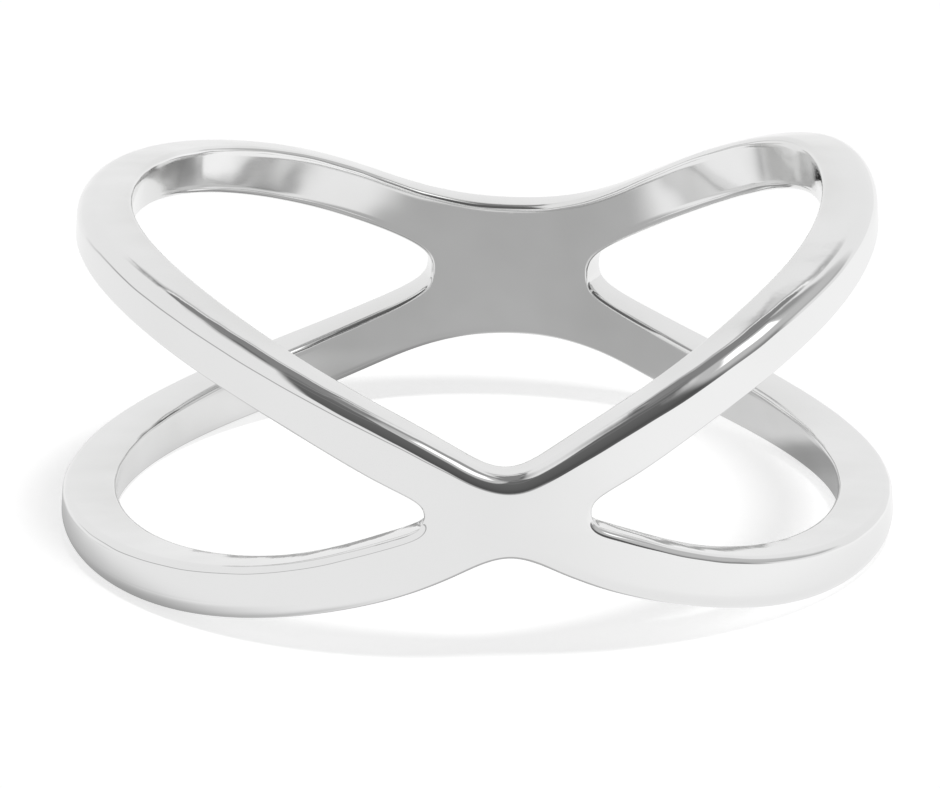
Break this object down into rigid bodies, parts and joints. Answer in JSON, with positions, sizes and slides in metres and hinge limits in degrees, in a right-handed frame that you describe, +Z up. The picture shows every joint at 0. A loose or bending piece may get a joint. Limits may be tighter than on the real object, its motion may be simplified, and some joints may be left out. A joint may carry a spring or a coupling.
{
  "type": "crossover ring",
  "caption": "Open finger ring of polished metal whose slim arms cross in an X at the front and run together at the back, round open side windows.",
  "frame": {"origin": "on the finger axis, at the height that the lower rim rests at", "axes": "+Z up along the finger axis, -Y the front with the narrow crossing, +X the wearer's view to the right"},
  "size_m": [0.02, 0.0196, 0.0087],
  "materials": {
    "silver": "mirror polished"
  },
  "bodies": {
    "root": {"band": "silver"}
  },
  "joints": []
}
